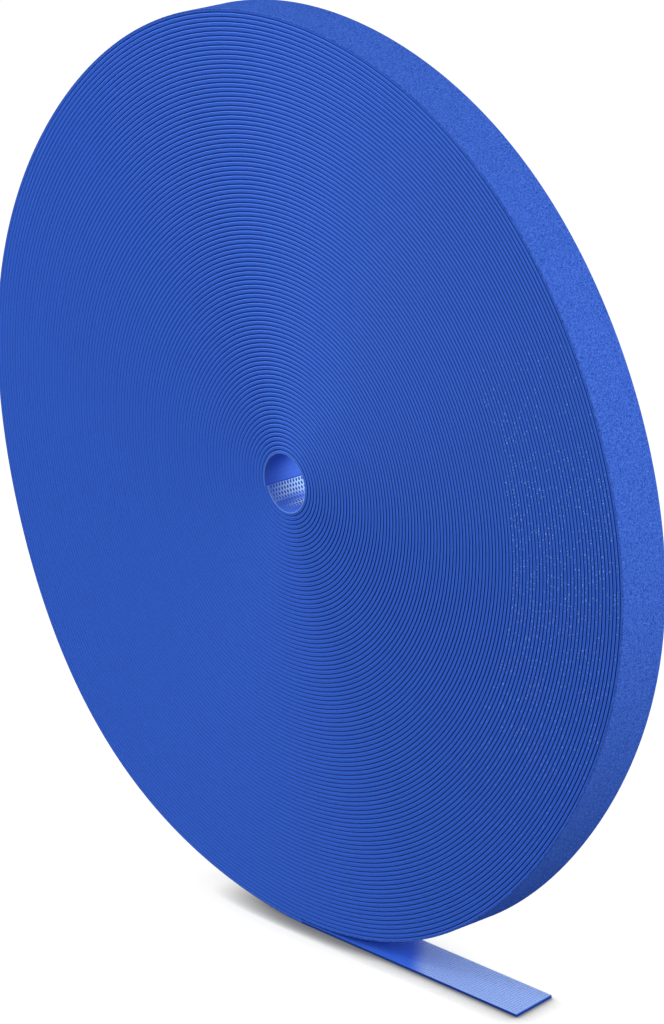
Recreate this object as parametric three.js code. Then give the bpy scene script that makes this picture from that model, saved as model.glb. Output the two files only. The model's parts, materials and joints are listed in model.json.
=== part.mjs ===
// A coreless roll of back-to-back hook and loop tape, standing on its rim with its free end laid out flat.
// Millimetres, +Z up. The roll's axis runs along Y, the free end runs out along +X, and the origin is on
// the surface that the roll stands on, straight below the axis at the middle of the tape's width.
//
// The tape is two strips bonded back to back: a hook ply, which faces the axis, and a loop ply, which
// faces outwards. Between one turn and the next, the hooks of the outer turn sit in the loops of the inner
// turn. The innermost turn and the outermost turns are wound ply by ply at their real thickness, and the
// turns between them, which nothing opens, are one packed solid.
import * as THREE from "three";

// Driving dimensions: the tape
const TAPE_WIDTH = 16;
const HOOK_BACKING = 0.4; // thickness of the hook ply without its hooks
const LOOP_BACKING = 0.35; // thickness of the loop ply without its loops
const BOND_LINE = 0.1; // adhesive between the two plies
const PILE_HEIGHT = 0.45; // hooks sunk in loops between one turn and the next

// Driving dimensions: the roll
const BORE_RADIUS = 8.1;
const WHOLE_TURNS = 98;
const PLY_TURNS = 14; // outermost turns that are wound ply by ply
const FACETS_PER_TURN = 36; // with one flat to stand on and one at each side and at the top
const INNER_END_FACETS = 7; // loose start of the tape, in the bore

// Driving dimensions: the free end
const PEEL_REACH = 45; // from below the axis to the line where the free end bends up
const TAIL_REACH = 91.5; // from below the axis to the middle of the cut end
const CUT_SLANT = 2.5; // by how much the near edge of the free end is longer than its far edge
const SPLICE_GAP = 0.3; // clearance between two stretches of one ply

// Sizes that follow from them
const LOOP_OFFSET = HOOK_BACKING + BOND_LINE;
const TAPE_THICKNESS = LOOP_OFFSET + LOOP_BACKING;
const PITCH = TAPE_THICKNESS + PILE_HEIGHT;
const FACET_ANGLE = (2 * Math.PI) / FACETS_PER_TURN;
const LAST_FACET = WHOLE_TURNS * FACETS_PER_TURN + INNER_END_FACETS; // where the tape leaves the roll
const PACK_END = LAST_FACET - PLY_TURNS * FACETS_PER_TURN; // where the packed turns end
const FLAT_START_ANGLE = -Math.PI / 2 - FACET_ANGLE / 2; // near edge of the flat that the roll stands on
const AXIS_HEIGHT = innerFaceRadius(LAST_FACET) + TAPE_THICKNESS;

// The two plies as radial offsets from the tape's inner face.
const PLIES = {
  hook_ply: { inner: 0, outer: HOOK_BACKING },
  loop_ply: { inner: LOOP_OFFSET, outer: TAPE_THICKNESS },
};

const MATERIALS = {
  hook_ply: new THREE.MeshStandardMaterial({ color: 0x6f8fe0, roughness: 0.55, metalness: 0 }),
  loop_ply: new THREE.MeshStandardMaterial({ color: 0x3f68cc, roughness: 0.95, metalness: 0 }),
  packed_turns: new THREE.MeshStandardMaterial({ color: 0x2f57b4, roughness: 0.85, metalness: 0 }),
};

// Distance from the axis to the flats of the tape's inner face: it grows by one pitch a turn.
function innerFaceRadius(facet) {
  return BORE_RADIUS + (PITCH * facet) / FACETS_PER_TURN;
}

// Corner of the wound tape, counted in facets from the tape's start, at an offset from its inner face.
function corner(facet, offset) {
  const radius = (innerFaceRadius(facet) + offset) / Math.cos(FACET_ANGLE / 2);
  const angle = FLAT_START_ANGLE + (facet - LAST_FACET) * FACET_ANGLE;
  return new THREE.Vector2(radius * Math.cos(angle), AXIS_HEIGHT + radius * Math.sin(angle));
}

// Point of the wound tape at any place along it: between two corners it lies on the straight flat.
function facePoint(place, offset) {
  const facet = Math.floor(place);
  return corner(facet, offset).lerp(corner(facet + 1, offset), place - facet);
}

// One face of the wound tape as points, from one place along the tape to another.
function face(first, last, offset) {
  const points = [facePoint(first, offset)];
  for (let facet = Math.floor(first) + 1; facet < last; facet += 1) points.push(corner(facet, offset));
  points.push(facePoint(last, offset));
  return points;
}

// The splice gap as a share of the facet that it lies on.
function spliceShare(facet) {
  return SPLICE_GAP / (2 * innerFaceRadius(facet) * Math.tan(FACET_ANGLE / 2));
}

// Least gap between one turn of a ply and its next turn, measured on corners and on the middles of flats.
function leastGapToItself(first, last, ply) {
  let least = Infinity;
  for (let place = Math.ceil(first); place + FACETS_PER_TURN <= last; place += 0.5) {
    const next = facePoint(place + FACETS_PER_TURN, ply.inner);
    least = Math.min(least, facePoint(place, ply.outer).distanceTo(next));
  }
  return least;
}

// An outline in the plane of the roll, carried across the width of the tape.
function acrossTape(shape) {
  const geometry = new THREE.ExtrudeGeometry(shape, { depth: TAPE_WIDTH, bevelEnabled: false });
  return geometry.rotateX(Math.PI / 2).translate(0, TAPE_WIDTH / 2, 0);
}

// Outline of a stretch of one ply on the roll, with any straight run that follows it.
function plyOutline(first, last, ply, run = []) {
  const innerFace = face(first, last, ply.inner);
  const outerFace = face(first, last, ply.outer).reverse();
  return new THREE.Shape([...innerFace, ...run, ...outerFace]);
}

// The straight end of a ply between two distances from below the axis, lying on the surface.
function flatRun(start, end, ply) {
  const top = TAPE_THICKNESS - ply.inner;
  const bottom = TAPE_THICKNESS - ply.outer;
  return {
    near: [new THREE.Vector2(start, bottom), new THREE.Vector2(start, top)],
    far: [new THREE.Vector2(end, top), new THREE.Vector2(end, bottom)],
  };
}

// Slants the cut end of the straight run: its near edge gets longer, and its far edge gets shorter.
function slantCut(geometry) {
  const corners = geometry.getAttribute("position");
  for (let index = 0; index < corners.count; index += 1) {
    const x = corners.getX(index);
    if (x > PEEL_REACH + CUT_SLANT) corners.setX(index, x - (CUT_SLANT * corners.getY(index)) / TAPE_WIDTH);
  }
  geometry.computeVertexNormals();
  return geometry;
}

const roll = new THREE.Group();

function addPiece(name, geometry, material) {
  const piece = new THREE.Mesh(geometry, material);
  piece.name = name;
  roll.add(piece);
}

// The packed turns: a disc whose bore and rim both step by one turn of the tape.
function packedTurns() {
  const rim = face(PACK_END - FACETS_PER_TURN, PACK_END, TAPE_THICKNESS);
  const bore = face(FACETS_PER_TURN, 2 * FACETS_PER_TURN, 0);
  const disc = new THREE.Shape(rim);
  disc.holes.push(new THREE.Path(bore));
  return disc;
}

addPiece("packed_turns", acrossTape(packedTurns()), MATERIALS.packed_turns);

for (const [plyName, ply] of Object.entries(PLIES)) {
  const material = MATERIALS[plyName];

  const firstTurnStart = INNER_END_FACETS + spliceShare(INNER_END_FACETS);
  const firstTurnEnd = FACETS_PER_TURN - spliceShare(FACETS_PER_TURN);
  addPiece(`inner_end_${plyName}`, acrossTape(plyOutline(0, INNER_END_FACETS, ply)), material);
  addPiece(`first_turn_${plyName}`, acrossTape(plyOutline(firstTurnStart, firstTurnEnd, ply)), material);

  const outerStart = PACK_END + spliceShare(PACK_END);
  const leadOut = flatRun(0, PEEL_REACH, ply).far;
  addPiece(`outer_turns_${plyName}`, acrossTape(plyOutline(outerStart, LAST_FACET, ply, leadOut)), material);

  const tail = flatRun(PEEL_REACH + SPLICE_GAP, TAIL_REACH, ply);
  addPiece(`tail_${plyName}`, slantCut(acrossTape(new THREE.Shape([...tail.near, ...tail.far]))), material);

  const gap = leastGapToItself(outerStart, LAST_FACET, ply);
  console.log(`outer_turns_${plyName}: least gap to itself ${gap.toFixed(2)} mm`);
}

export default roll;
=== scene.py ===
"""Looks of a coreless roll of hook and loop tape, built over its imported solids.

The roll stands on its rim with its free end laid out flat. Lengths are in metres, in the frame of the
solids: the roll's axis runs along Y, the free end runs out along +X, and Z is up. A place along the tape is
counted in turns from the line where the tape leaves the roll: 0 there, -1 one turn further in. A place
through the tape is an offset from its inner face, which carries the hooks, and a place across it is Y.
"""

import json
import logging
import math
from dataclasses import dataclass, replace
from enum import Enum

import bpy
import numpy as np
from mathutils import Matrix, Vector

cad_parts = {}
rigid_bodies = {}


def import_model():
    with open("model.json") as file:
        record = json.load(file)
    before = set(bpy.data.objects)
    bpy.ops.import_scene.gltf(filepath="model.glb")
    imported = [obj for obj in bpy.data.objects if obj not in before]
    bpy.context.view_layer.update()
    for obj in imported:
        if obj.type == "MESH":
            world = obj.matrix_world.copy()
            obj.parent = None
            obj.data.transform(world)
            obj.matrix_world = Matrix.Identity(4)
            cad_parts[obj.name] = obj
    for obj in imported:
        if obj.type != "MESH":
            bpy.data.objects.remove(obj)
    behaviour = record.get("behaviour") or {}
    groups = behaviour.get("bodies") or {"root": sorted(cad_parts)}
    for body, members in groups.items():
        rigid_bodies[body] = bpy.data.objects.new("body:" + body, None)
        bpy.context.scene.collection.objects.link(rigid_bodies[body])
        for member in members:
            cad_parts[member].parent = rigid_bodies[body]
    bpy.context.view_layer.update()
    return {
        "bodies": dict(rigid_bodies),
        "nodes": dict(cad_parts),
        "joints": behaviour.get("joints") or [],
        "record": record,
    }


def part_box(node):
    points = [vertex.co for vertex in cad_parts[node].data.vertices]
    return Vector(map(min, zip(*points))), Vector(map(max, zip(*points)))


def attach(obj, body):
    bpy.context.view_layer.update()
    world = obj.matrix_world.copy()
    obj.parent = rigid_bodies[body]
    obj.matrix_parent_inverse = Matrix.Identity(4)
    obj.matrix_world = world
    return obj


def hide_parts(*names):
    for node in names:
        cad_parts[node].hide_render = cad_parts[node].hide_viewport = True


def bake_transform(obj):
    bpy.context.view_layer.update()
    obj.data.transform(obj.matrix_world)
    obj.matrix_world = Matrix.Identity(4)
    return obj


LOG = logging.getLogger("tape_roll")
MM = 0.001
IMAGE_WIDTH = 664
IMAGE_HEIGHT = 1024
SENSOR_WIDTH = 36.0
SEED = 20
OUTER_PACKED_TURNS = 38
# Shade at which a piece takes its finish's middle colour.
MIDDLE_SHADE = 0.5
WHITE = (1.0, 1.0, 1.0, 1.0)

Colour = tuple[float, float, float]
Point = tuple[float, float, float]
Socket = bpy.types.NodeSocket
Material = bpy.types.Material
Piece = bpy.types.Object


class Ply(Enum):
    """The two strips that the tape is bonded from."""

    HOOK = "hook"
    LOOP = "loop"


class Slot(Enum):
    """Material slots of the record."""

    EDGE = "wound_edge"
    LOOP = "loop_face"
    HOOK = "hook_face"


def eased(share: np.ndarray) -> np.ndarray:
    """Shares held between 0 and 1 and eased at both ends: three squares less two cubes."""
    held = np.clip(share, 0.0, 1.0)
    return held * held * (3 - 2 * held)


@dataclass(frozen=True)
class Graph:
    """The nodes of a material or of the world."""

    tree: bpy.types.NodeTree

    def add(self, kind: str) -> bpy.types.Node:
        """Adds a node."""
        return self.tree.nodes.new(kind)

    def join(self, source: Socket, target: Socket) -> None:
        """Links a node's output to another node's input."""
        self.tree.links.new(source, target)

    def maths(self, operation: str, *inputs: Socket | float) -> Socket:
        """Adds a Math node.

        Args:
            operation: what the node does.
            inputs: other nodes' outputs or plain numbers, in the order of the node's inputs.

        Returns:
            The node's output.
        """
        node = self.add("ShaderNodeMath")
        node.operation = operation
        for socket, value in zip(node.inputs, inputs):
            if isinstance(value, Socket):
                self.join(value, socket)
            else:
                socket.default_value = value
        return node.outputs[0]


@dataclass(frozen=True)
class TapeSizes:
    """Sizes of the tape and of its winding, most of them read from the solids."""

    width: float
    thickness: float
    hook_backing: float
    loop_start: float
    axis_height: float
    tail_start: float
    tail_end: float
    pitch: float = 1.3 * MM
    whole_turns: int = 98
    start_angle: float = math.radians(195.0)
    inner_end_angle: float = math.radians(70.0)
    ply_turns: int = 14
    cut_slant: float = 2.5 * MM

    @classmethod
    def from_frame(cls, frame: dict) -> "TapeSizes":
        """Reads the sizes from the boxes of the free end and from the bore's opening.


        Returns:
            The sizes in metres.
        """
        hook_low, hook_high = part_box("tail_hook_ply")
        loop_low, loop_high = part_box("tail_loop_ply")
        bore_low, bore_high = frame["record"]["physics"]["openings"][0]["box_m"]
        return cls(
            width=hook_high[1] - hook_low[1],
            thickness=hook_high[2] - loop_low[2],
            hook_backing=hook_high[2] - hook_low[2],
            loop_start=hook_high[2] - loop_high[2],
            axis_height=(bore_low[2] + bore_high[2]) / 2,
            tail_start=hook_low[0],
            tail_end=hook_high[0] - cls.cut_slant / 2,
        )

    @property
    def first_place(self) -> float:
        """Turns from the contact line back to the tape's start in the bore."""
        return -(self.whole_turns + (1.5 * math.pi - self.start_angle) / (2 * math.pi))

    @property
    def inner_end_place(self) -> float:
        """Turns from the contact line back to the line where the inner end bends."""
        return self.first_place + self.inner_end_angle / (2 * math.pi)

    @property
    def half_width(self) -> float:
        """Half the tape's width."""
        return self.width / 2


@dataclass(frozen=True)
class RimWave:
    """One slow wave, so many crests to a turn, that keeps the roll from being quite round.

    Its height is in radii and the angle of one crest in degrees.
    """

    count: int
    height: float
    crest: float

    def at(self, angle: np.ndarray) -> np.ndarray:
        """Height of the wave at angles about the axis: a cosine with its top at the crest."""
        return self.height * np.cos(self.count * (angle - math.radians(self.crest)))


@dataclass(frozen=True)
class Sway:
    """One slow sine of the turns' sideways drift."""

    rate: float
    share: float
    phase: float

    def at(self, place: np.ndarray) -> np.ndarray:
        """The sine at places along the tape: of the place times the rate plus the phase, times the share."""
        return self.share * np.sin(self.rate * place + self.phase)


@dataclass(frozen=True)
class Winding:
    """The spiral that the tape follows on the roll."""

    sizes: TapeSizes
    finest_steps: int = 128
    fewest_steps: int = 8
    samples: int = 20000
    telescoping: float = 0.02 * MM
    sways: tuple[Sway, ...] = (Sway(2.31, 1.0, 0.0), Sway(5.17, 0.7, 1.0), Sway(9.73, 0.5, 2.0))
    waves: tuple[RimWave, ...] = (
        RimWave(1, 0.0024, 80.0),
        RimWave(2, 0.0018, -36.0),
        RimWave(3, 0.0047, 7.5),
        RimWave(5, 0.0030, 7.0),
        RimWave(6, 0.0040, -11.0),
    )

    def radius(self, place: np.ndarray) -> np.ndarray:
        """Radius of the tape's inner face: it shrinks by one pitch for each turn further in."""
        return self.sizes.axis_height - self.sizes.thickness + self.sizes.pitch * place

    def places(self, first: float, last: float) -> np.ndarray:
        """Places along the tape, spaced so that the facets stay equally close to the curve.

        The steps in a turn grow with the square root of the radius, so that the sag of a chord, which goes
        with the radius and the square of the step, is the same all along the tape.

        Args:
            first: place of the inner end of the stretch.
            last: place of its outer end.

        Returns:
            Rising places, both ends included.
        """
        fine = np.linspace(first, last, self.samples)
        density = self.finest_steps * np.sqrt(self.radius(fine) / self.sizes.axis_height)
        count = np.concatenate([[0.0], np.cumsum((density[1:] + density[:-1]) / 2 * np.diff(fine))])
        steps = max(self.fewest_steps, math.ceil(count[-1]))
        return np.interp(np.linspace(0.0, count[-1], steps + 1), count, fine)

    def drift(self, place: np.ndarray) -> np.ndarray:
        """Sideways drift of the turns: the sines' sum over its most, which fades out in the last turn.

        Args:
            place: places along the tape, in turns.

        Returns:
            Lengths across the tape.
        """
        most = sum(sway.share for sway in self.sways)
        swing = sum(sway.at(place) for sway in self.sways)
        return self.telescoping * np.clip(-place, 0.0, 1.0) * swing / most

    def stretch(self, angle: np.ndarray, radius: np.ndarray) -> np.ndarray:
        """How much further out a point lies than on a round roll.

        The waves add up, less their height straight down, so that the roll still stands on the floor. They
        fade towards the bore with the square of the radius.

        Args:
            angle: angles about the axis.
            radius: radii on the round roll.

        Returns:
            Factors for the radii.
        """
        down = np.array(-math.pi / 2)
        height = sum(wave.at(angle) - wave.at(down) for wave in self.waves)
        return 1 + height * (radius / self.sizes.axis_height) ** 2

    def points(self, place: np.ndarray, offset: np.ndarray, across: np.ndarray) -> np.ndarray:
        """Points of the wound tape.

        The angle falls from straight down by a full circle for each turn further in. The point lies at that
        angle about the axis, at the inner face's radius plus the offset, stretched by the waves.

        Args:
            place: places along the tape, in turns.
            offset: offsets from the inner face.
            across: places across the tape.

        Returns:
            Points with a last axis of x, y and z, in the shape that the three arrays broadcast to.
        """
        place, offset, across = np.broadcast_arrays(place, offset, across)
        angle = -math.pi / 2 + 2 * math.pi * place
        radius = self.radius(place) + offset
        radius = radius * self.stretch(angle, radius)
        x = radius * np.cos(angle)
        y = across + self.drift(place)
        z = self.sizes.axis_height + radius * np.sin(angle)
        return np.stack([x, y, z], axis=-1)


class Surface:
    """Turns grids of points into mesh objects."""

    @staticmethod
    def strip(name: str, points: np.ndarray, along: np.ndarray, shade: np.ndarray) -> Piece:
        """A closed strip: each row of points is a loop round the strip, and the two ends are capped.

        Args:
            name: name of the piece.
            points: rows of points, in the shape (rows, columns, 3).
            along: length along the strip of each row, for the UV map.
            shade: at each point 0 for the plain colour, the middle shade for the middle one and 1 for the
                deep one,
            kept as an attribute.

        Returns:
            The new object, with its faces pointing out.
        """
        rows, columns = points.shape[:2]
        index = np.arange(rows * columns).reshape(rows, columns)
        after = np.roll(index, -1, axis=1)
        quads = np.stack([index[:-1], after[:-1], after[1:], index[1:]], axis=-1).reshape(-1, 4)
        caps = [index[0][::-1], index[-1]]
        flat = points.reshape(-1, 3)
        if Surface._volume(flat, quads) < 0:
            quads = quads[:, ::-1]
            caps = [cap[::-1] for cap in caps]
        mesh = bpy.data.meshes.new(name)
        mesh.from_pydata(flat.tolist(), [], quads.tolist() + [cap.tolist() for cap in caps])
        Surface._smooth(mesh, len(caps), columns)
        Surface._map(mesh, np.repeat(along, columns), flat[:, 1])
        kept = mesh.attributes.new("shade", "FLOAT", "POINT")
        kept.data.foreach_set("value", shade.astype(np.float32).ravel())
        return Surface.link(name, mesh)

    @staticmethod
    def link(name: str, mesh: bpy.types.Mesh) -> Piece:
        """Puts a mesh into the scene.

        Args:
            name: name of the object.
            mesh: its mesh.

        Returns:
            The object.
        """
        mesh.update()
        piece = bpy.data.objects.new(name, mesh)
        bpy.context.scene.collection.objects.link(piece)
        return piece

    @staticmethod
    def _smooth(mesh: bpy.types.Mesh, caps: int, columns: int) -> None:
        """Shades the strip smooth, with flat caps and sharp edges round them.

        Args:
            mesh: the strip's mesh, whose last faces are its caps.
            caps: number of caps.
            columns: number of edges round a cap.
        """
        smooth = np.ones(len(mesh.polygons), bool)
        smooth[-caps:] = False
        mesh.polygons.foreach_set("use_smooth", smooth)
        edge = np.empty(len(mesh.loops), np.int32)
        mesh.loops.foreach_get("edge_index", edge)
        sharp = np.zeros(len(mesh.edges), bool)
        sharp[edge[-caps * columns:]] = True
        mesh.edges.foreach_set("use_edge_sharp", sharp)

    @staticmethod
    def _volume(points: np.ndarray, quads: np.ndarray) -> float:
        """Signed volume under the quads about their own centre: a sixth of a sum of triple products.

        Args:
            points: the points.
            quads: four point numbers for each face.

        Returns:
            The volume, which is negative where the faces point in.
        """
        centred = points - points.mean(axis=0)
        a, b, c, d = (centred[quads[:, k]] for k in range(4))
        return float(np.einsum("ij,ij->", np.cross(a, b), c) + np.einsum("ij,ij->", np.cross(a, c), d)) / 6

    @staticmethod
    def _map(mesh: bpy.types.Mesh, along: np.ndarray, across: np.ndarray) -> None:
        """Gives the mesh a UV map of lengths in metres, along the tape and across it.

        Args:
            mesh: the mesh.
            along: length along the tape of each point.
            across: place across it of each point.
        """
        corner = np.empty(len(mesh.loops), np.int32)
        mesh.loops.foreach_get("vertex_index", corner)
        places = np.stack([along[corner], across[corner]], axis=-1)
        layer = mesh.uv_layers.new(name="tape")
        layer.data.foreach_set("uv", places.astype(np.float32).ravel())


@dataclass(frozen=True)
class Finish:
    """A mottled cloth or nylon surface."""

    name: str
    light: Colour
    dark: Colour
    mottle_scale: float
    roughness: float
    specular: float
    grain_scale: float
    grain_height: float
    mottle_gain: float = 1.0
    # Middle and deep colours that the shade mixes in; some finishes paint highlight and shade with them.
    middle_tone: Colour | None = None
    deep: Colour | None = None
    worn_roughness: float | None = None
    noise_detail: float = 3.0

    def build(self) -> Material:
        """Builds the material.

        The mottled colour goes on to the middle colour and the deep one with the piece's shade, which also
        sets the roughness where the finish sets a second roughness. Each finish says where those colours are
        wear, painted highlight or painted shade. A fine noise makes the grain as a bump.

        Returns:
            The material.
        """
        material = bpy.data.materials.new(self.name)
        material.use_nodes = True
        graph = Graph(material.node_tree)
        shader = material.node_tree.nodes["Principled BSDF"]
        shader.inputs["Roughness"].default_value = self.roughness
        shader.inputs["Specular IOR Level"].default_value = self.specular
        place = graph.add("ShaderNodeTexCoord").outputs["Object"]
        colour = self._mottled(graph, place)
        if self.middle_tone is not None and self.deep is not None:
            colour = self._deepen(graph, colour)
        graph.join(colour, shader.inputs["Base Color"])
        if self.worn_roughness is not None:
            graph.join(self._gloss(graph), shader.inputs["Roughness"])
        bump = graph.add("ShaderNodeBump")
        bump.inputs["Distance"].default_value = self.grain_height
        graph.join(self._noise(graph, place, self.grain_scale), bump.inputs["Height"])
        graph.join(bump.outputs["Normal"], shader.inputs["Normal"])
        return material

    def _noise(self, graph: Graph, place: Socket, scale: float) -> Socket:
        """Adds a noise texture.

        Args:
            graph: the material's nodes.
            place: the object's own coordinates.
            scale: how fine the noise is.

        Returns:
            The noise, which swings about a half.
        """
        noise = graph.add("ShaderNodeTexNoise")
        noise.inputs["Scale"].default_value = scale
        noise.inputs["Detail"].default_value = self.noise_detail
        graph.join(place, noise.inputs["Vector"])
        return noise.outputs["Fac"]

    def _mottled(self, graph: Graph, place: Socket) -> Socket:
        """Mixes the dark and the light colour by a noise, whose swing about a half the gain stretches.

        Args:
            graph: the material's nodes.
            place: the object's own coordinates.

        Returns:
            The colour.
        """
        noise = self._noise(graph, place, self.mottle_scale)
        swing = graph.maths("MULTIPLY_ADD", noise, self.mottle_gain, (1 - self.mottle_gain) / 2)
        colour = graph.add("ShaderNodeMix")
        colour.data_type = "RGBA"
        colour.inputs["A"].default_value = (*self.dark, 1.0)
        colour.inputs["B"].default_value = (*self.light, 1.0)
        graph.join(swing, colour.inputs["Factor"])
        return colour.outputs["Result"]

    @staticmethod
    def _shade(graph: Graph) -> Socket:
        """Reads the shade that the piece's points carry.

        Args:
            graph: the material's nodes.

        Returns:
            The shade.
        """
        shade = graph.add("ShaderNodeAttribute")
        shade.attribute_name = "shade"
        return shade.outputs["Fac"]

    def _gloss(self, graph: Graph) -> Socket:
        """Takes the roughness to the finish's second one at the middle shade, and back from there to a shade
        of 1.

        Args:
            graph: the material's nodes.

        Returns:
            The roughness.
        """
        peak = graph.maths("PINGPONG", self._shade(graph), MIDDLE_SHADE)
        swing = (self.worn_roughness - self.roughness) / MIDDLE_SHADE
        return graph.maths("MULTIPLY_ADD", peak, swing, self.roughness)

    def _deepen(self, graph: Graph, colour: Socket) -> Socket:
        """Takes a colour to the middle one at the middle shade, and from there to the deep one at 1.

        Args:
            graph: the material's nodes.
            colour: the colour at a shade of 0.

        Returns:
            The colour.
        """
        shade = self._shade(graph)
        ramp = graph.add("ShaderNodeValToRGB")
        for stop, place, end in zip(ramp.color_ramp.elements, (MIDDLE_SHADE, 1.0), (self.middle_tone, self.deep)):
            stop.position = place
            stop.color = (*end, 1.0)
        graph.join(shade, ramp.inputs[0])
        mixed = graph.add("ShaderNodeMix")
        mixed.data_type = "RGBA"
        graph.join(graph.maths("MULTIPLY", shade, 1 / MIDDLE_SHADE), mixed.inputs["Factor"])
        graph.join(colour, mixed.inputs["A"])
        graph.join(ramp.outputs["Color"], mixed.inputs["B"])
        return mixed.outputs["Result"]


HOOK_EDGE = Finish(
    "hook_ply_edge",
    light=(0.037, 0.144, 0.73), dark=(0.021, 0.105, 0.59),
    mottle_scale=2400.0,
    roughness=0.75, specular=0.2,
    grain_scale=5000.0, grain_height=0.02 * MM,
    mottle_gain=1.8,
)
# The loop ply's pale middle colour, on its rounded corners, is partly wear and partly a painted highlight;
# its deep colour is painted shade in the slots between turns.
LOOP_EDGE = replace(
    HOOK_EDGE,
    name="loop_ply_edge",
    middle_tone=(0.100, 0.290, 1.0), deep=(0.005, 0.042, 0.32),
    worn_roughness=0.25,
)
# The nap's deep colour is painted shade on the free end's lower face, which lies on the floor.
LOOP_NAP = Finish(
    "loop_nap",
    light=(0.080, 0.192, 0.75), dark=(0.016, 0.066, 0.40),
    mottle_scale=2200.0,
    roughness=0.9, specular=0.0,
    grain_scale=3000.0, grain_height=0.05 * MM,
    mottle_gain=2.6,
    middle_tone=(0.030, 0.100, 0.48), deep=(0.012, 0.050, 0.30),
)
# The pale light and dark colours are partly the hook nylon's own paler tone and partly a painted sheen, the
# white surroundings reflected at a glancing view. The middle colour is the roll's painted shadow on the free
# end, and also darkens the pits.
HOOK_FACE = Finish(
    "hook_face",
    light=(0.345, 0.485, 0.85), dark=(0.305, 0.445, 0.81),
    mottle_scale=900.0,
    roughness=0.55, specular=0.12,
    grain_scale=5000.0, grain_height=0.01 * MM,
    middle_tone=(0.045, 0.160, 0.77), deep=(0.010, 0.060, 0.38),
)
# In the bore the very pale light and dark colours are a painted highlight; the middle colour is the deeper
# blue where that painted highlight gives way.
BORE_HOOKS = replace(
    HOOK_FACE,
    name="bore_hooks",
    light=(0.62, 0.86, 1.0), dark=(0.54, 0.78, 1.0),
    roughness=0.6, specular=0.08,
    middle_tone=(0.078, 0.210, 0.80), deep=(0.024, 0.090, 0.46),
)
# Very pale fibre ends on one side of the roll: painted glints.
FIBRE_GLINT = Finish(
    "glinting_fibre_ends",
    light=(0.54, 0.80, 1.0), dark=(0.46, 0.72, 1.0),
    mottle_scale=900.0,
    roughness=0.4, specular=0.4,
    grain_scale=5000.0, grain_height=0.01 * MM,
)


@dataclass(frozen=True)
class BedPoint:
    """A point of the bed of loops between two turns: its share of the gap, its setback and its shade."""

    share: float
    setback: float
    shade: float


@dataclass(frozen=True)
class PlySection:
    """Section of one ply: a flat edge, and for the loop ply a pale outer corner, partly wear and partly a
    painted highlight, and a bed of loops with a slot of painted shade.
    """

    sizes: TapeSizes
    lean: float = 0.09 * MM
    chamfer: float = 0.02 * MM
    round_length: float = 0.3 * MM
    round_depth: float = 0.14 * MM
    # The slot's shades of 0.95 and 1 are painted shade between turns; past the slot the bed is plain.
    bed: tuple[BedPoint, ...] = (
        BedPoint(0.0, 0.15 * MM, 0.95),
        BedPoint(0.0, 0.5 * MM, 1.0),
        BedPoint(0.2, 0.48 * MM, 1.0),
        BedPoint(0.76, 0.21 * MM, 1.0),
        BedPoint(0.78, 0.2 * MM, 0.0),
        BedPoint(1.0, 0.1 * MM, 0.0),
    )
    bed_clearance: float = 0.03 * MM
    bond: float = 0.05 * MM
    corner_steps: int = 4
    corner_power: float = 1.5

    def outline(self, ply: Ply) -> tuple[np.ndarray, np.ndarray, np.ndarray]:
        """Outline of a ply's section as offsets and places across the tape, with its shades.

        The two plies together make one flat at each edge of the tape, which leans back a little towards the
        hook ply's free face. The loop ply's outer corner is rounded by a quarter of an ellipse, and with a
        power of the sweep it takes more of the pale middle colour, which is partly wear and partly a painted
        highlight. From there a bed of loops fills the gap up to the next turn's inner face. At the loop ply
        it drops into a narrow slot, painted deepest in colour as shade, and past that it comes up level with
        the next turn's hooks. The other corners have a fine chamfer.

        Args:
            ply: which ply.

        Returns:
            Offsets, places across and shades, in order round the section.
        """
        inner, outer = self.faces(ply)
        half = self.sizes.half_width
        if ply is Ply.HOOK:
            offset = np.array([inner, inner + self.chamfer, outer - self.chamfer, outer])
            across = half - np.array([self.lean + self.chamfer, self.lean, 0.0, self.chamfer])
            shade = np.zeros(len(offset))
        else:
            sweep = np.linspace(0.0, math.pi / 2, self.corner_steps)
            gap = self.sizes.pitch - self.bed_clearance - outer
            bed = [outer + point.share * gap for point in self.bed]
            corner = outer - self.round_length * (1 - np.sin(sweep))
            offset = np.concatenate([[inner, inner + self.chamfer], corner, bed])
            setback = np.concatenate([[self.chamfer, 0.0], self.round_depth * (1 - np.cos(sweep))])
            across = half - np.concatenate([setback, [point.setback for point in self.bed]])
            # The corner's pale middle colour is partly wear and partly a painted highlight.
            rub_and_highlight = MIDDLE_SHADE * (2 * sweep / math.pi) ** self.corner_power
            shade = np.concatenate([[0.0, 0.0], rub_and_highlight, [point.shade for point in self.bed]])
        both_sides = np.concatenate([-across, across[::-1]])
        return np.concatenate([offset, offset[::-1]]), both_sides, np.concatenate([shade, shade[::-1]])

    def faces(self, ply: Ply) -> tuple[float, float]:
        """Offsets of a ply's two faces.

        Args:
            ply: which ply.

        Returns:
            The inner face's offset and the outer face's.
        """
        if ply is Ply.HOOK:
            return 0.0, self.sizes.hook_backing
        return self.sizes.hook_backing + self.bond, self.sizes.thickness


@dataclass
class WoundStretch:
    """A stretch of one ply on the roll, whose faces the next turn covers."""

    name: str
    node: str
    ply: Ply
    first: float
    last: float

    def build(self, winding: Winding, section: PlySection, material: Material) -> Piece:
        """Carries the ply's section along the spiral.

        Args:
            winding: the spiral.
            section: the section's sizes.
            material: finish of the ply.

        Returns:
            The piece, riding on the roll.
        """
        place = winding.places(self.first, self.last)
        offset, across, shade = section.outline(self.ply)
        points = winding.points(place[:, None], offset[None, :], across[None, :])
        length = 2 * math.pi * winding.radius(place) * (place - place[0])
        piece = Surface.strip(self.name, points, length, np.broadcast_to(shade, points.shape[:2]))
        piece.data.materials.append(material)
        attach(piece, "roll")
        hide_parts(self.node)
        return piece


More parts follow.
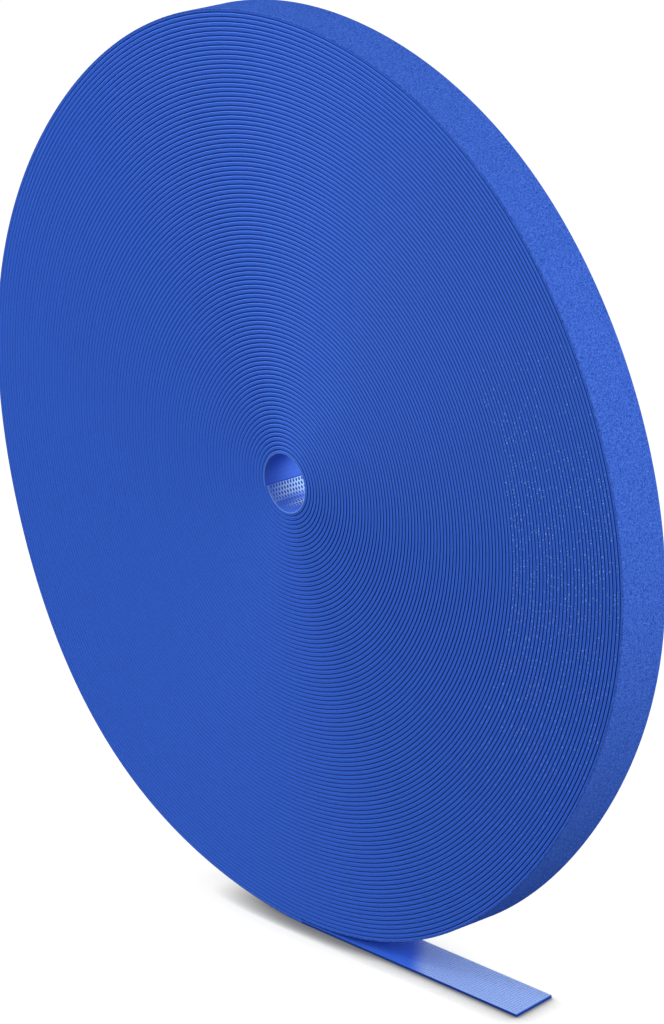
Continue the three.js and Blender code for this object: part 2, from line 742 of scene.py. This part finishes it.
@dataclass
class ExposedTurn:
    """The outermost turn of the loop ply, whose brushed nap is the roll's tread."""

    steps: int = 2250
    columns: int = 42
    nap_height: float = 0.14 * MM
    nap_spread: float = 2.0
    selvedge: float = 1.2 * MM
    slant_share: float = 0.5
    edge_inset: float = 0.05 * MM
    edge_drop: float = 0.08 * MM

    def build(self, winding: Winding, section: PlySection, material: Material) -> Piece:
        """Carries a section with a napped outer face along the last turn.

        Args:
            winding: the spiral.
            section: the section's sizes.
            material: finish of the nap.

        Returns:
            The piece, riding on the roll.
        """
        sizes = winding.sizes
        inner, _ = section.faces(Ply.LOOP)
        half = sizes.half_width
        place = np.linspace(-1.0, 0.0, self.steps + 1)
        across = np.linspace(half - self.edge_inset, -half + self.edge_inset, self.columns)
        nap = self._nap(len(place), across, half)
        outer = sizes.thickness - self.nap_height * nap
        outer[:, [0, -1]] -= self.edge_drop
        offset = np.concatenate([np.full((len(place), 2), inner), outer], axis=1)
        points = winding.points(place[:, None], offset, np.concatenate([[-half, half], across])[None, :])
        length = 2 * math.pi * sizes.axis_height * (place + 1)
        piece = Surface.strip("exposed_loop_turn", points, length, np.zeros_like(offset))
        piece.data.materials.append(material)
        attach(piece, "roll")
        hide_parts("outer_turns_loop_ply")
        return piece

    def _nap(self, rows: int, across: np.ndarray, half: float) -> np.ndarray:
        """Depths of the nap below its tips, as shares of its height.

        Seeded noise gets a share of itself from one step along and one step across, which makes short
        slanting tufts. It is held within so many times its spread and fades out towards the two selvedges.

        Args:
            rows: number of places along the tape.
            across: places across it.
            half: half the tape's width.

        Returns:
            Shares from 0 at the tips to 1 at the deepest.
        """
        rough = np.random.default_rng(SEED).standard_normal((rows, len(across)))
        rough = rough + self.slant_share * np.roll(rough, (1, 1), (0, 1))
        rough = np.clip(rough / (self.nap_spread * rough.std()), -1.0, 1.0)
        return (1 - rough) / 2 * eased((half - np.abs(across)) / self.selvedge)[None, :]


@dataclass(frozen=True)
class HookLattice:
    """The hook face: a moulded lattice whose oval pits lie in staggered rows."""

    cell_across: float = 1.06 * MM
    cell_along: float = 1.36 * MM
    pit_across: float = 0.40 * MM
    pit_along: float = 0.76 * MM
    depth: float = 0.2 * MM
    steepness: float = 1.6
    margin: float = 0.5 * MM
    margin_start: float = 0.3
    grid_across: int = 120
    grid_along: float = 0.17 * MM

    def relief(self, along: np.ndarray, across: np.ndarray, half: float) -> np.ndarray:
        """Share of the pits' depth at places on the face.

        Every second row of cells is shifted by half a cell. Within a cell, the share falls smoothly from 1
        about the middle of the oval to 0 at its rim. Along the tape's edges a margin has no pits.

        Args:
            along: lengths along the tape.
            across: places across it.
            half: half the tape's width.

        Returns:
            Shares from 0 to 1, one row for each length.
        """
        along, across = np.broadcast_arrays(along[:, None], across[None, :])
        row = np.floor(along / self.cell_along)
        far = along - (row + 0.5) * self.cell_along
        shifted = across / self.cell_across + 0.5 * np.mod(row, 2)
        side = (shifted - np.floor(shifted) - 0.5) * self.cell_across
        reach = np.sqrt((far / self.pit_along) ** 2 + (side / self.pit_across) ** 2)
        inside = np.clip((half - np.abs(across)) / self.margin - self.margin_start, 0.0, 1.0)
        return eased(self.steepness * (1 - reach)) * inside

    def across(self, half: float) -> np.ndarray:
        """Places across the tape on the face's grid."""
        return np.linspace(-half, half, self.grid_across)


@dataclass
class BoreLining:
    """The innermost turn: a loose inner end and the rest of the turn."""

    winding: Winding
    section: PlySection
    lattice: HookLattice
    bend_length: float = 4.0 * MM
    # The pale start and the pale patch are painted highlight.
    pale_length: float = 3.6 * MM
    fade_length: float = 3.0 * MM
    start_shade: float = 0.3
    rim_shade: float = 0.3
    corner_shade: float = 0.9
    patch_place: float = 8.3 * MM
    patch_length: float = 1.4 * MM
    patch_reach: float = 0.9
    near_middle_share: float = 0.75
    near_start: float = 0.1
    filled_share: float = 0.85
    fewest_rows: int = 8
    loop_rows: int = 60

    def build(self, hook: Material, loop: Material) -> list[Piece]:
        """Builds both plies of the inner end and of the rest of the first turn.

        Args:
            hook: finish of the hook face.
            loop: finish of the loop ply.

        Returns:
            The four pieces.
        """
        sizes = self.winding.sizes
        first, bend, last = sizes.first_place, sizes.inner_end_place, sizes.first_place + 1
        hinge = self.winding.points(np.array(bend), np.array(0.0), np.array(0.0))
        pieces = []
        for name, start, end in (("inner_end", first, bend), ("first_turn", bend, last)):
            hook_piece = self._hook_ply(f"{name}_hook_face", start, end)
            loop_piece = self._loop_ply(f"{name}_loop_back", start, end)
            for piece, material, slot in ((hook_piece, hook, Slot.HOOK), (loop_piece, loop, Slot.LOOP)):
                piece.data.materials.append(material)
                if name == "inner_end":
                    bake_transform(piece)
                else:
                    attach(piece, "roll")
            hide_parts(f"{name}_hook_ply")
            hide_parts(f"{name}_loop_ply")
            pieces += [hook_piece, loop_piece]
        return pieces

    def _hook_ply(self, name: str, start: float, end: float) -> Piece:
        """The hook ply with its lattice on the inner face.

        The pits sink outwards from the face. Its very pale colour, near the tape's start, is a painted
        highlight, and past that the face takes the deeper middle blue, with shallower pits. One patch on the
        far
        side keeps the painted highlight: its share falls with the length from its place, as a bell curve.
        Towards the near edge the face takes the middle blue all along.

        Args:
            name: name of the piece.
            start: place where the piece starts.
            end: place where it ends.

        Returns:
            The piece.
        """
        sizes = self.winding.sizes
        half = sizes.half_width
        mean_radius = float(self.winding.radius(np.array(sizes.first_place + 0.5)))
        length = 2 * math.pi * mean_radius * (end - start)
        rows = max(self.fewest_rows, round(length / self.lattice.grid_along))
        place = np.linspace(start, end, rows)
        along = 2 * math.pi * mean_radius * (place - sizes.first_place)
        across = self.lattice.across(half)
        # Where the share of the middle colour is low, the face keeps its painted highlight.
        bell = np.exp(-(((along - self.patch_place) / self.patch_length) ** 2))[:, None]
        patch = bell * eased(across / half + self.patch_reach)[None, :]
        middle_tone = eased((along - self.pale_length) / self.fade_length)[:, None] * (1 - patch)
        middle_tone = np.maximum(middle_tone, self.near_middle_share * eased(-across / half - self.near_start)[None, :])
        relief = self.lattice.relief(along, across, half) * (1 - self.filled_share * middle_tone)
        shade = relief + (1 - relief) * middle_tone * MIDDLE_SHADE
        # The rim line is paler than the wall next to it: a painted highlight.
        shade[:, [0, -1]] = self.rim_shade
        corner = np.full((len(place), 2), sizes.hook_backing)
        offset = np.concatenate([relief * self.lattice.depth, corner], axis=1)
        sides = np.concatenate([across, [half, -half]])
        points = self.winding.points(place[:, None], offset, sides[None, :])
        # The backing's corners are painted dark as shade beside that rim line.
        shades = np.concatenate([shade, np.full_like(corner, self.corner_shade)], axis=1)
        return Surface.strip(name, points, along, shades)

    def _loop_ply(self, name: str, start: float, end: float) -> Piece:
        """The loop ply behind it, with its bed of loops, whose painted slot shade is lighter at the tape's
        start.

        Args:
            name: name of the piece.
            start: place where the piece starts.
            end: place where it ends.

        Returns:
            The piece.
        """
        place = np.linspace(start, end, self.loop_rows)
        offset, across, shade = self.section.outline(Ply.LOOP)
        points = self.winding.points(place[:, None], offset[None, :], across[None, :])
        along = 2 * math.pi * self.winding.radius(place) * (place - start)
        shades = np.tile(shade, (len(place), 1))
        # At the tape's start the loop ply's painted slot shade is lessened.
        if start == self.winding.sizes.first_place:
            shades[0] *= self.start_shade
        return Surface.strip(name, points, along, shades)


@dataclass
class FreeEnd:
    """The straight end of the tape, from the contact line to the slanting cut."""

    sizes: TapeSizes
    lattice: HookLattice
    nap_height: float = 0.05 * MM
    bend_reach: float = 6.0 * MM
    edge_drop: float = 0.06 * MM
    pit_share: float = 0.34
    # The roll's shadow over the near stretch of the free end is painted in the hook face's middle colour.
    roll_shadow_length: float = 38.5 * MM
    roll_shadow_slant: float = 0.9
    fade_length: float = 9.0 * MM
    edge_shade: float = 1.0
    loop_rows: int = 300
    loop_columns: int = 40
    bond_fill: float = 0.03 * MM

    def build(self, hook: Material, loop: Material) -> list[Piece]:
        """Builds both plies.

        Args:
            hook: finish of the hook face.
            loop: finish of the loop ply.

        Returns:
            The two pieces.
        """
        hook_piece = self._hook_ply()
        loop_piece = self._loop_ply()
        for piece, node, material, slot in (
            (hook_piece, "tail_hook_ply", hook, Slot.HOOK),
            (loop_piece, "tail_loop_ply", loop, Slot.LOOP),
        ):
            piece.data.materials.append(material)
            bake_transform(piece)
            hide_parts(node)
        return [hook_piece, loop_piece]

    def _hook_ply(self) -> Piece:
        """The hook ply: its lattice is on the upper face, and the pits sink down from it.

        Up to the shadow length the face carries the roll's shadow, painted in the deeper middle blue. That
        length is greater at the near edge than at the far one. From there the face pales, and past the fade
        length it is as pale as at the cut end.

        Returns:
            The piece.
        """
        sizes = self.sizes
        half = sizes.half_width
        along = np.linspace(0.0, sizes.tail_end, round(sizes.tail_end / self.lattice.grid_along))
        across = self.lattice.across(half)
        relief = self.lattice.relief(along, across, half)
        top = sizes.thickness - relief * self.lattice.depth
        top[:, [0, -1]] -= self.edge_drop
        # Painted shadow of the roll, slanting across the tape.
        beyond = along[:, None] - self.roll_shadow_length + self.roll_shadow_slant * across[None, :]
        roll_shadow = MIDDLE_SHADE * (1 - eased(beyond / self.fade_length))
        shade = roll_shadow + (1 - roll_shadow) * self.pit_share * relief
        shade[:, [0, -1]] = self.edge_shade
        shade[-1, :] = self.edge_shade
        bottom = np.full((len(along), 2), sizes.thickness - sizes.hook_backing)
        height = np.concatenate([top, bottom], axis=1)
        sides = np.concatenate([across, [half, -half]])
        deep = np.concatenate([shade, np.full_like(bottom, self.edge_shade)], axis=1)
        return Surface.strip("free_end_hook_face", self._grid(along, sides, height), along, deep)

    def _loop_ply(self) -> Piece:
        """The loop ply: its nap, a seeded noise, is on the lower face, pressed against the floor.

        Returns:
            The piece.
        """
        sizes = self.sizes
        half = sizes.half_width
        along = np.linspace(0.0, sizes.tail_end, self.loop_rows)
        across = np.linspace(-half, half, self.loop_columns)
        rough = np.random.default_rng(SEED + 1).random((len(along), len(across)))
        bottom = self.nap_height * rough
        bottom[:, [0, -1]] += self.edge_drop
        top = np.full((len(along), 2), sizes.thickness - sizes.loop_start + self.bond_fill)
        height = np.concatenate([bottom, top], axis=1)
        sides = np.concatenate([across, [half, -half]])
        points = self._grid(along, sides, height)
        # The whole lower face takes the nap's deep colour: painted shade under the tape.
        return Surface.strip("free_end_loop_back", points, along, np.ones_like(height))

    def _grid(self, along: np.ndarray, across: np.ndarray, height: np.ndarray) -> np.ndarray:
        """Points of a straight strip: x is the length, stretched evenly so that the cut end slants.

        Args:
            along: lengths along the tape.
            across: places across it.
            height: heights above the floor, one row for each length.

        Returns:
            Points with a last axis of x, y and z.
        """
        slant = 1 - self.sizes.cut_slant / self.sizes.width * across / self.sizes.tail_end
        x = along[:, None] * slant[None, :]
        y = np.broadcast_to(across[None, :], height.shape)
        return np.stack([x, y, height], axis=-1)


@dataclass
class FibreEnds:
    """Short fibre ends that stand out of the wound edges on one side of the roll, painted bright as glints.
    """

    winding: Winding
    count: int = 1100
    length: float = 0.15 * MM
    length_shares: tuple[float, float] = (0.5, 1.4)
    thickness: float = 0.125 * MM
    offsets: tuple[float, float] = (0.15 * MM, 0.65 * MM)
    heading_spread: float = 0.5
    inmost_turn: float = -32.0
    angle_low: float = -48.0
    angle_high: float = 34.0

    def build(self, material: Material) -> Piece:
        """Scatters slim octahedra over the tape's edges, on the side where their bright colour stands for
        painted glints.

        Each lies on the near edge of a turn drawn at random, at an angle in degrees that is likeliest
        straight to the side. Its place is that turn plus the angle's share of a circle from straight down,
        and it heads about as the tape does there.

        Args:
            material: finish of the fibres.

        Returns:
            The piece, riding on the roll.
        """
        rng = np.random.default_rng(SEED + 2)
        turn = np.floor(rng.uniform(self.inmost_turn, -1.0, self.count))
        angle = rng.triangular(self.angle_low, 0.0, self.angle_high, self.count)
        place = turn + (angle + 90.0) / 360.0
        offset = rng.uniform(*self.offsets, self.count)
        middle = self.winding.points(place, offset, np.full(self.count, -self.winding.sizes.half_width))
        heading = 2 * math.pi * place + rng.normal(0.0, self.heading_spread, self.count)
        along = np.stack([np.cos(heading), np.zeros(self.count), np.sin(heading)], axis=-1)
        aside = np.stack([-np.sin(heading), np.zeros(self.count), np.cos(heading)], axis=-1)
        out = np.broadcast_to([0.0, -1.0, 0.0], middle.shape)
        long = self.length * rng.uniform(*self.length_shares, self.count)[:, None]
        slim = self.thickness
        tips = [along * long, aside * slim, out * slim, -along * long, -aside * slim, -out * slim]
        points = middle[:, None, :] + np.stack(tips, axis=1)
        upper = [(0, 1, 2), (1, 3, 2), (3, 4, 2), (4, 0, 2)]
        lower = [(1, 0, 5), (3, 1, 5), (4, 3, 5), (0, 4, 5)]
        index = np.arange(self.count)[:, None, None] * len(tips) + np.array(upper + lower)
        mesh = bpy.data.meshes.new("glinting_fibre_ends")
        mesh.from_pydata(points.reshape(-1, 3).tolist(), [], index.reshape(-1, 3).tolist())
        piece = Surface.link("glinting_fibre_ends", mesh)
        mesh.materials.append(material)
        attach(piece, "roll")
        return piece


@dataclass
class SoftLight:
    """A large round light that faces the roll."""

    name: str
    place: Point
    size: float
    power: float

    def build(self, aim: Vector) -> None:
        """Places the light so that it faces the aim.

        Args:
            aim: the point that it faces.
        """
        data = bpy.data.lights.new(self.name, "AREA")
        data.shape = "DISK"
        data.size = self.size
        data.energy = self.power
        light = bpy.data.objects.new(self.name, data)
        place = Vector(self.place)
        turned = (aim - place).to_track_quat("-Z", "Y").to_matrix().to_4x4()
        light.matrix_world = Matrix.Translation(place) @ turned
        bpy.context.scene.collection.objects.link(light)


@dataclass(frozen=True)
class Contact:
    """A soft shadow on the floor: how far off it starts, the way that it looks and how fast it deepens."""

    reach: float
    way: Point
    power: float

    def build(self, graph: Graph) -> Socket:
        """The share of light that is left: the open share of the half space about the way, to the power.

        Args:
            graph: the floor's nodes.

        Returns:
            The share.
        """
        way = graph.add("ShaderNodeCombineXYZ")
        for axis, share in enumerate(self.way):
            way.inputs[axis].default_value = share
        near = graph.add("ShaderNodeAmbientOcclusion")
        near.inputs["Distance"].default_value = self.reach
        graph.join(way.outputs[0], near.inputs["Normal"])
        return graph.maths("POWER", near.outputs["AO"], self.power)


@dataclass
class Studio:
    """Camera, floor and light."""

    sizes: TapeSizes
    azimuth: float = math.radians(49.66)
    elevation: float = math.radians(18.26)
    roll: float = math.radians(-1.97)
    distance: float = 1.2571
    focal_pixels: float = 4376.0
    centre_column: float = 306.28
    centre_row: float = 478.02
    clip_start: float = 0.05
    clip_end: float = 60.0
    floor_reach: float = 12.0
    floor_colour: float = 0.12
    floor_shown: float = 0.15
    floor_glow: float = 0.92
    contacts: tuple[Contact, ...] = (
        Contact(6.5 * MM, (-0.6, 0.7, 0.05), 3.6),
        Contact(12.0 * MM, (-0.9, 0.3, 0.3), 0.6),
    )
    sky_strength: float = 0.6
    lights: tuple[SoftLight, ...] = (
        SoftLight("back_right", (1.15, 0.65, 0.38), 0.7, 12.0),
        SoftLight("upper_left", (-0.95, -0.75, 0.85), 0.45, 6.5),
        SoftLight("front", (-0.1, -0.9, 0.6), 0.6, 3.3),
    )

    def build(self) -> None:
        """Builds the camera, the floor, the world and the lights."""
        bpy.context.scene.view_settings.view_transform = "Standard"
        middle = Vector((0.0, 0.0, self.sizes.axis_height))
        self._camera(middle)
        self._floor()
        self._world()
        for light in self.lights:
            light.build(middle)

    def _camera(self, middle: Vector) -> None:
        """Places the camera: the roll's middle is seen at its column and row, from the given angles.

        Args:
            middle: the roll's middle.
        """
        back = Vector((
            math.sin(self.azimuth) * math.cos(self.elevation),
            -math.cos(self.azimuth) * math.cos(self.elevation),
            math.sin(self.elevation),
        ))
        level = Vector((math.cos(self.azimuth), math.sin(self.azimuth), 0.0))
        upright = back.cross(level)
        right = math.cos(self.roll) * level + math.sin(self.roll) * upright
        up = math.cos(self.roll) * upright - math.sin(self.roll) * level
        aside = (self.centre_column - IMAGE_WIDTH / 2) / self.focal_pixels * self.distance
        above = -(self.centre_row - IMAGE_HEIGHT / 2) / self.focal_pixels * self.distance
        place = middle + back * self.distance - right * aside - up * above
        data = bpy.data.cameras.new("camera")
        data.sensor_width = SENSOR_WIDTH
        data.lens = self.focal_pixels * SENSOR_WIDTH / IMAGE_HEIGHT
        data.clip_start = self.clip_start
        data.clip_end = self.clip_end
        camera = bpy.data.objects.new("camera", data)
        turned = Matrix((right, up, back)).transposed().to_4x4()
        camera.matrix_world = Matrix.Translation(place) @ turned
        bpy.context.scene.collection.objects.link(camera)
        bpy.context.scene.camera = camera

    def _floor(self) -> None:
        """A wide white floor.

        Light that spreads meets a plain grey floor. The camera and mirrors see a glow that the contact
        shadows darken, and a share of the floor's own shading.
        """
        reach = self.floor_reach
        mesh = bpy.data.meshes.new("floor")
        corners = [(-reach, -reach, 0.0), (reach, -reach, 0.0), (reach, reach, 0.0), (-reach, reach, 0.0)]
        mesh.from_pydata(corners, [], [(0, 1, 2, 3)])
        floor = Surface.link("floor", mesh)
        material = bpy.data.materials.new("floor")
        material.use_nodes = True
        nodes = material.node_tree.nodes
        nodes.remove(nodes["Principled BSDF"])
        graph = Graph(material.node_tree)
        plain = graph.add("ShaderNodeBsdfDiffuse")
        plain.inputs["Color"].default_value = (self.floor_colour,) * 3 + (1.0,)
        shown = graph.add("ShaderNodeBsdfDiffuse")
        shown.inputs["Color"].default_value = (self.floor_shown,) * 3 + (1.0,)
        glow = graph.add("ShaderNodeEmission")
        strength: Socket | float = self.floor_glow
        for contact in self.contacts:
            strength = graph.maths("MULTIPLY", strength, contact.build(graph))
        graph.join(strength, glow.inputs["Strength"])
        both = graph.add("ShaderNodeAddShader")
        graph.join(shown.outputs[0], both.inputs[0])
        graph.join(glow.outputs[0], both.inputs[1])
        mixed = self._switched(graph, plain.outputs[0], both.outputs[0])
        graph.join(mixed, nodes["Material Output"].inputs["Surface"])
        mesh.materials.append(material)

    def _world(self) -> None:
        """A white sky: full white to the camera and to mirrors, and dimmer as light on the object."""
        world = bpy.data.worlds.new("sky")
        bpy.context.scene.world = world
        world.use_nodes = True
        nodes = world.node_tree.nodes
        graph = Graph(world.node_tree)
        lit = nodes["Background"]
        lit.inputs["Color"].default_value = WHITE
        lit.inputs["Strength"].default_value = self.sky_strength
        shown = graph.add("ShaderNodeBackground")
        shown.inputs["Color"].default_value = WHITE
        mixed = self._switched(graph, lit.outputs[0], shown.outputs[0])
        graph.join(mixed, nodes["World Output"].inputs["Surface"])

    @staticmethod
    def _switched(graph: Graph, lit: Socket, shown: Socket) -> Socket:
        """Mixes two shaders: one for rays from the camera, a mirror or glass, one for light that spreads.

        Args:
            graph: nodes of the floor or of the world.
            lit: the shader for light that spreads.
            shown: the shader for the other rays.

        Returns:
            The mixed shader.
        """
        path = graph.add("ShaderNodeLightPath")
        seen = path.outputs["Is Camera Ray"]
        for ray in ("Is Glossy Ray", "Is Transmission Ray"):
            seen = graph.maths("MAXIMUM", seen, path.outputs[ray])
        mix = graph.add("ShaderNodeMixShader")
        for source, target in zip((seen, lit, shown), mix.inputs):
            graph.join(source, target)
        return mix.outputs[0]


def main() -> None:
    """Builds the studio and every piece of the roll."""
    logging.basicConfig(level=logging.INFO, format="%(name)s: %(message)s")
    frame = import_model()
    sizes = TapeSizes.from_frame(frame)
    winding = Winding(sizes)
    section = PlySection(sizes)
    coarse = HookLattice()
    fine = HookLattice(
        cell_across=0.85 * MM, cell_along=1.04 * MM,
        pit_across=0.34 * MM, pit_along=0.44 * MM,
        depth=0.12 * MM,
    )
    Studio(sizes).build()
    hook_edge, loop_edge = HOOK_EDGE.build(), LOOP_EDGE.build()
    loop_nap, hook_face = LOOP_NAP.build(), HOOK_FACE.build()
    lined = sizes.first_place + 1
    packed = float(-sizes.ply_turns)
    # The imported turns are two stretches, so that no piece has over 200,000 triangles.
    middle = packed - OUTER_PACKED_TURNS
    pieces = []
    for name, node, ply, first, last, material in (
        ("inner_packed_hook_turns", "packed_turns", Ply.HOOK, lined, middle, hook_edge),
        ("inner_packed_loop_turns", "packed_turns", Ply.LOOP, lined, middle, loop_edge),
        ("outer_packed_hook_turns", "packed_turns", Ply.HOOK, middle, packed, hook_edge),
        ("outer_packed_loop_turns", "packed_turns", Ply.LOOP, middle, packed, loop_edge),
        ("outer_hook_turns", "outer_turns_hook_ply", Ply.HOOK, packed, 0.0, hook_edge),
        ("outer_loop_turns", "outer_turns_loop_ply", Ply.LOOP, packed, -1.0, loop_edge),
    ):
        pieces.append(WoundStretch(name, node, ply, first, last).build(winding, section, material))
    pieces.append(ExposedTurn().build(winding, section, loop_nap))
    pieces += BoreLining(winding, section, coarse).build(BORE_HOOKS.build(), loop_edge)
    pieces += FreeEnd(sizes, fine).build(hook_face, loop_nap)
    pieces.append(FibreEnds(winding).build(FIBRE_GLINT.build()))
    for piece in pieces:
        LOG.info("%s: %d faces", piece.name, len(piece.data.polygons))


if __name__ == "__main__":
    main()
